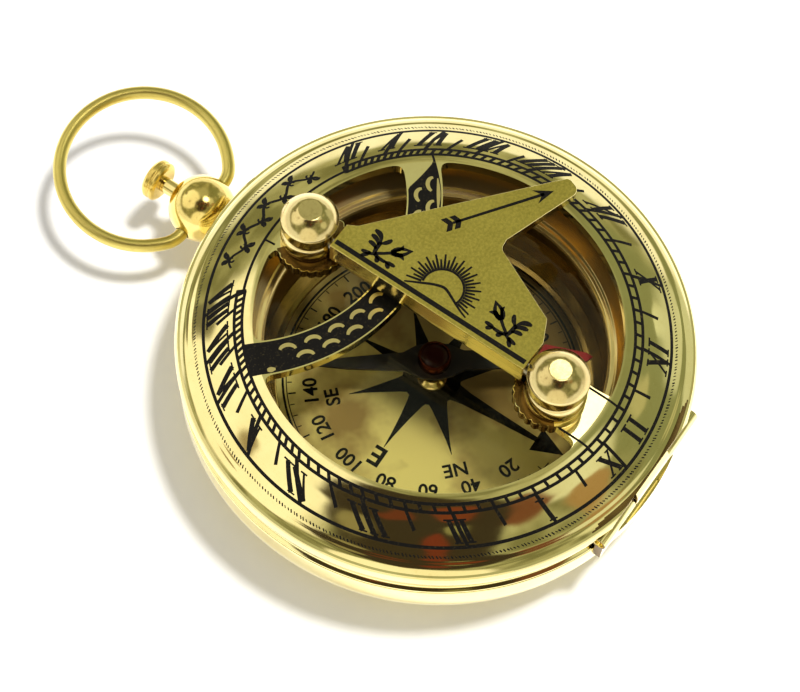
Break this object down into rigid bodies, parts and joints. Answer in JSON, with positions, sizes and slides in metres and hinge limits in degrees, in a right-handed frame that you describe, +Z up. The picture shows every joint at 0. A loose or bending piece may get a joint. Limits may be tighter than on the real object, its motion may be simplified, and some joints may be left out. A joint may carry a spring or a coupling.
{
  "type": "pocket sundial compass",
  "caption": "Brass pocket sundial compass: pierced sundial lid with folding gnomon on a hinged round case, compass under glass, push button stem and wire bow",
  "frame": {"origin": "centre of the flat bottom of the case, on the surface it rests on", "axes": "+Z up out of the dial, +Y towards the pendant and button, -Y towards the lid hinge and the noon numeral, +X to the side that the gnomon arm points to when folded"},
  "size_m": [0.05, 0.0694, 0.0194],
  "materials": {
    "polished_brass": "polished",
    "inner_brass": "polished, unlacquered",
    "cast_brass": "polished casting",
    "brushed_brass": "fine brushed with engraved, blackened ornament",
    "printed_card": "satin printed card",
    "crystal_glass": "clear",
    "steel": "satin",
    "needle_steel": "painted steel, one half red",
    "cap_brass": "polished",
    "jewel_glass": "dark red glass"
  },
  "bodies": {
    "root": {"base_shell": "polished_brass", "case_band": "polished_brass", "compass_bowl": "inner_brass", "compass_card": "printed_card", "pivot_post": "inner_brass", "spacer_ring": "inner_brass", "crystal": "crystal_glass", "crystal_ring": "inner_brass", "hinge_base_knuckles": "polished_brass", "hinge_pin": "steel", "pendant_neck": "cast_brass", "pendant_ball": "cast_brass", "catch_anchor": "inner_brass", "catch_screws": "steel"},
    "lid": {"lid_shell": "polished_brass", "lid_lip": "inner_brass", "lid_hinge_knuckle": "polished_brass", "catch_lug": "inner_brass", "south_post": "cast_brass", "north_post": "cast_brass", "post_nuts": "inner_brass"},
    "gnomon": {"gnomon_plate": "brushed_brass", "gnomon_bar": "inner_brass", "gnomon_pins": "steel"},
    "needle": {"compass_needle": "needle_steel", "needle_cap": "cap_brass", "needle_jewel": "jewel_glass"},
    "button": {"button_head": "cast_brass", "button_stem": "inner_brass"},
    "catch": {"catch_spring": "steel"},
    "bow": {"bow_ring": "cast_brass"}
  },
  "joints": [
    {"name": "lid_hinge", "type": "hinge", "parent": "root", "child": "lid", "pos_m": [0, -0.02375, 0.00955], "axis": [1, 0, 0], "range_deg": [0, 105]},
    {"name": "gnomon_fold", "type": "hinge", "parent": "lid", "child": "gnomon", "pos_m": [0, 0, 0.0155], "axis": [0, -1, 0], "range_deg": [0, 90]},
    {"name": "needle_spin", "type": "hinge", "parent": "root", "child": "needle", "pos_m": [0, 0, 0.0057], "axis": [0, 0, 1], "continuous": true},
    {"name": "button_press", "type": "slide", "parent": "root", "child": "button", "axis": [0, -1, 0], "range_m": [0, 0.0008]},
    {"name": "catch_flex", "type": "hinge", "parent": "root", "child": "catch", "pos_m": [-0.01525, 0.01718, 0.0063], "axis": [0, 0, -1], "range_deg": [0, 3.5]},
    {"name": "bow_swing", "type": "hinge", "parent": "root", "child": "bow", "pos_m": [0, 0.0283, 0.0063], "axis": [0.9968, 0, 0.0802], "range_deg": [-110, 100]}
  ],
  "couplings": [
    {"joint": "catch_flex", "follows": "button_press", "rad_per_m": 72}
  ]
}
